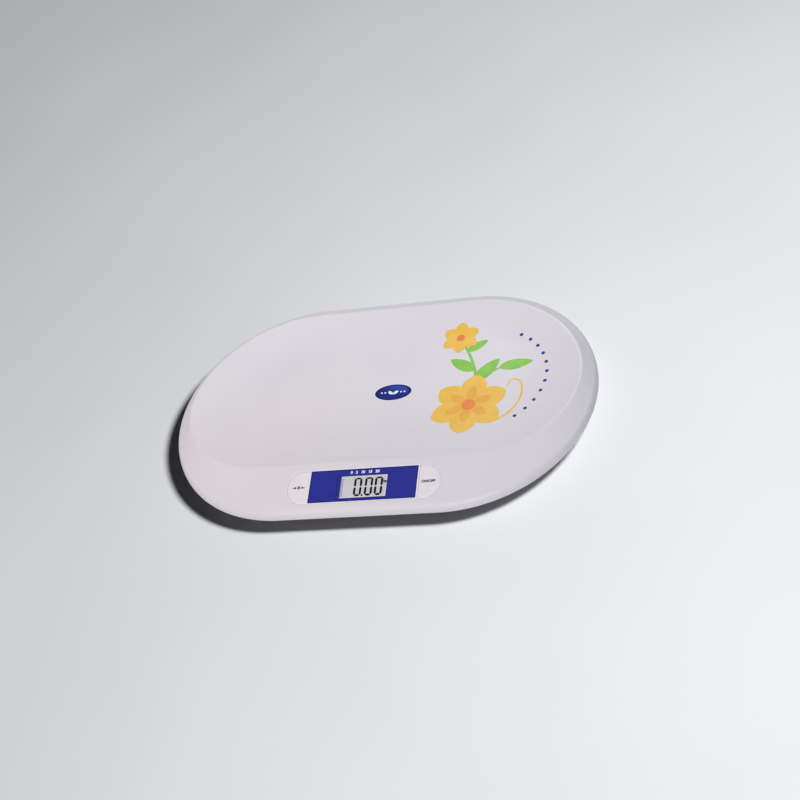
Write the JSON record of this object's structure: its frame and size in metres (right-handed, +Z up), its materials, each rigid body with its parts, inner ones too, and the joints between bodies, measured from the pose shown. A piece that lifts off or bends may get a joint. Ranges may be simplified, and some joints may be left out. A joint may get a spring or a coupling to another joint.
{
  "type": "baby weighing scale",
  "caption": "low oval digital baby scale: white tray with a shallow dish, a sloping display strip with keys at the front, and load cell feet under a bowl-shaped cover",
  "frame": {"origin": "on the table under the middle of the tray's outline, between the four feet", "axes": "+X to the right as seen by the parent at the display, +Y away from the display side, +Z up"},
  "size_m": [0.55, 0.35, 0.0499],
  "materials": {
    "tray_plastic": "satin white moulded ABS with a faint lavender cast",
    "cover_plastic": "fine textured off-white ABS",
    "bezel_plastic": "satin white ABS",
    "label_film": "printed blue polycarbonate film",
    "clear_window": "clear polished acrylic",
    "lcd_glass": "grey reflective liquid crystal glass",
    "dark_plastic": "black moulded plastic",
    "rubber_strip": "conductive layered rubber",
    "key_plastic": "satin white ABS",
    "plunger_plastic": "plastic switch plunger",
    "board": "green solder resist on glass fibre board",
    "screw_steel": "zinc plated steel",
    "black_resin": "black potting resin",
    "capacitor_can": "aluminium can",
    "quartz_can": "plated can",
    "battery_sleeve": "printed sleeve over steel",
    "contact_metal": "nickel plated spring steel",
    "silicone": "white silicone sealing",
    "badge_film": "printed film, blue with a white edge",
    "foot_rubber": "dark grey rubber",
    "foot_plastic": "grey-white ABS",
    "cell_steel": "punched steel plate",
    "lead_red": "red wire insulation",
    "lead_white": "white wire insulation",
    "lead_black": "black wire insulation"
  },
  "bodies": {
    "platform": {"tray_shell": "tray_plastic", "bottom_cover": "cover_plastic", "display_bezel": "bezel_plastic", "display_label": "label_film", "display_window": "clear_window", "lcd_glass": "lcd_glass", "lcd_frame": "dark_plastic", "zebra_strips": "rubber_strip", "switch_bodies": "dark_plastic", "main_pcb": "board", "pcb_screws": "screw_steel", "chip_blob": "black_resin", "pcb_capacitors": "capacitor_can", "pcb_quartz": "quartz_can", "battery_cell_a": "battery_sleeve", "battery_cell_b": "battery_sleeve", "battery_plates": "contact_metal", "battery_springs": "contact_metal", "gauge_covers": "silicone", "cell_screws": "screw_steel", "cover_screws": "screw_steel", "oval_badge": "badge_film", "lead_front_left": "lead_red", "lead_front_right": "lead_white", "lead_back_left": "lead_black", "lead_back_right": "lead_red", "lead_positive": "lead_red", "lead_negative": "lead_black", "load_cell_front_left": "cell_steel", "load_cell_front_right": "cell_steel", "load_cell_back_left": "cell_steel", "load_cell_back_right": "cell_steel"},
    "tare_key": {"tare_button": "key_plastic", "tare_plunger": "plunger_plastic"},
    "power_key": {"power_button": "key_plastic", "power_plunger": "plunger_plastic"},
    "door": {"battery_door": "cover_plastic"},
    "foot_front_left": {"foot_cup_front_left": "foot_plastic", "foot_pad_front_left": "foot_rubber"},
    "foot_front_right": {"foot_cup_front_right": "foot_plastic", "foot_pad_front_right": "foot_rubber"},
    "foot_back_left": {"foot_cup_back_left": "foot_plastic", "foot_pad_back_left": "foot_rubber"},
    "foot_back_right": {"foot_cup_back_right": "foot_plastic", "foot_pad_back_right": "foot_rubber"}
  },
  "joints": [
    {"name": "tare_press", "type": "slide", "parent": "platform", "child": "tare_key", "axis": [0, 0.1878, -0.9822], "range_m": [0, 0.0004], "stiffness_N_per_m": 1500, "springref_m": -0.0003},
    {"name": "power_press", "type": "slide", "parent": "platform", "child": "power_key", "axis": [0, 0.1878, -0.9822], "range_m": [0, 0.0004], "stiffness_N_per_m": 1500, "springref_m": -0.0003},
    {"name": "battery_door_slide", "type": "slide", "parent": "platform", "child": "door", "axis": [1, 0, 0], "range_m": [0, 0.009]},
    {"name": "foot_front_left_lift", "type": "slide", "parent": "platform", "child": "foot_front_left", "axis": [0, 0, 1], "range_m": [-0.0005, 0]},
    {"name": "foot_front_right_lift", "type": "slide", "parent": "platform", "child": "foot_front_right", "axis": [0, 0, 1], "range_m": [-0.0005, 0]},
    {"name": "foot_back_left_lift", "type": "slide", "parent": "platform", "child": "foot_back_left", "axis": [0, 0, 1], "range_m": [-0.0005, 0]},
    {"name": "foot_back_right_lift", "type": "slide", "parent": "platform", "child": "foot_back_right", "axis": [0, 0, 1], "range_m": [-0.0005, 0]}
  ]
}
